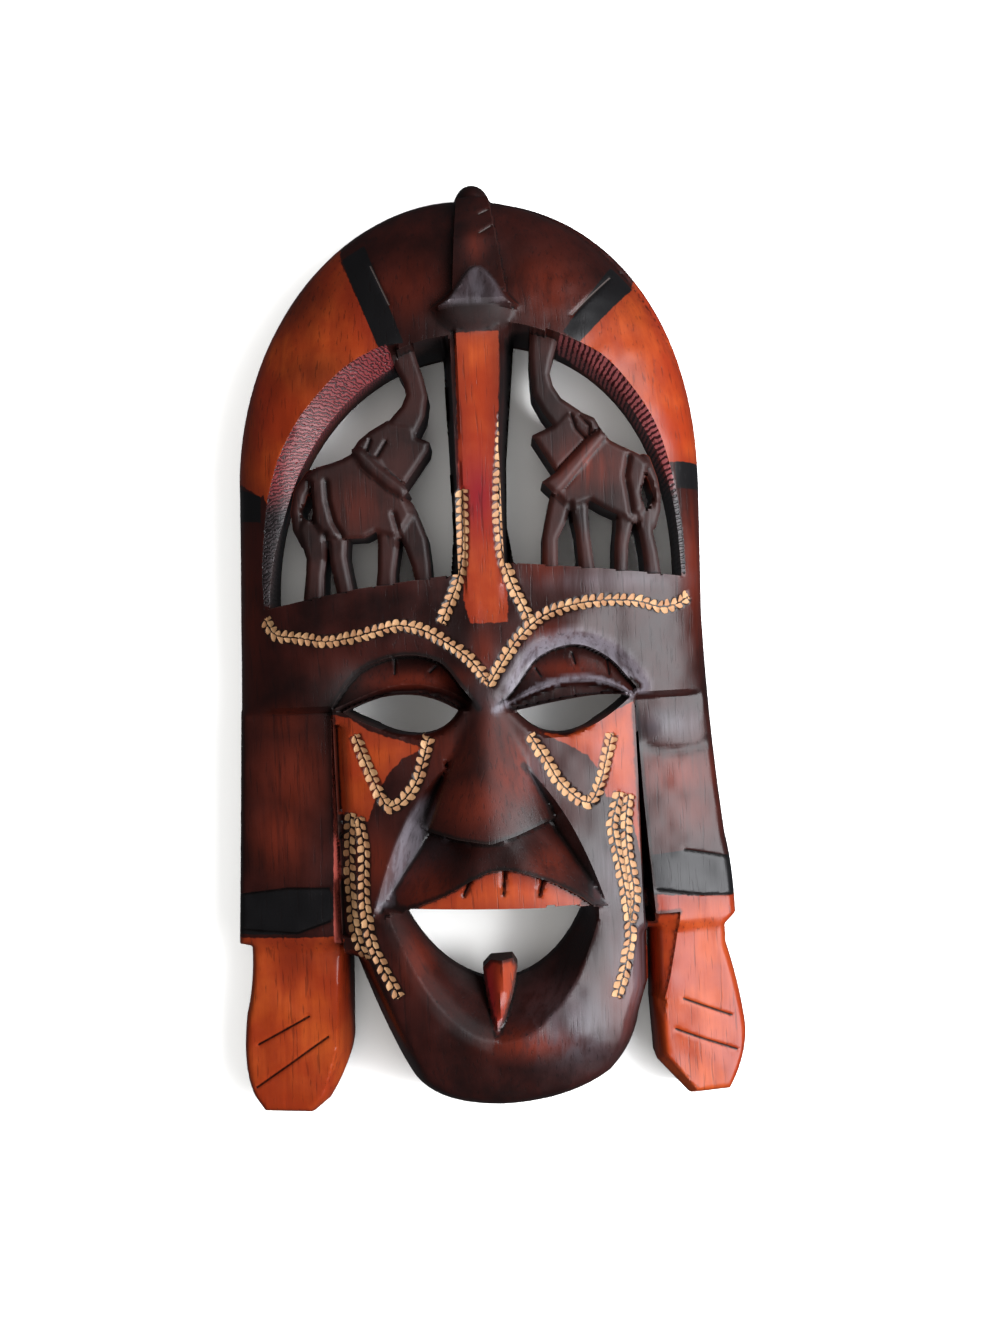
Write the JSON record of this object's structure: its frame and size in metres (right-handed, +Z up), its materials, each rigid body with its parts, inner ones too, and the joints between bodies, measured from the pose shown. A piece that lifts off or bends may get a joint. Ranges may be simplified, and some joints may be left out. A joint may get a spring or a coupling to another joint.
{
  "type": "carved wooden wall mask",
  "caption": "Carved wooden wall mask with an openwork domed head where elephants stand either side of a bar, over a long face with open eyes and mouth and hanging ears.",
  "frame": {"origin": "on the flat back of the crest, at the top of the arch, where the mask meets the wall", "axes": "+Z up the mask, +Y into the wall, and +X to the right seen from in front; the face looks along -Y"},
  "size_m": [0.2217, 0.063, 0.4046],
  "materials": {
    "wood": "stained and waxed, satin"
  },
  "bodies": {
    "root": {"mask": "wood"}
  },
  "joints": []
}
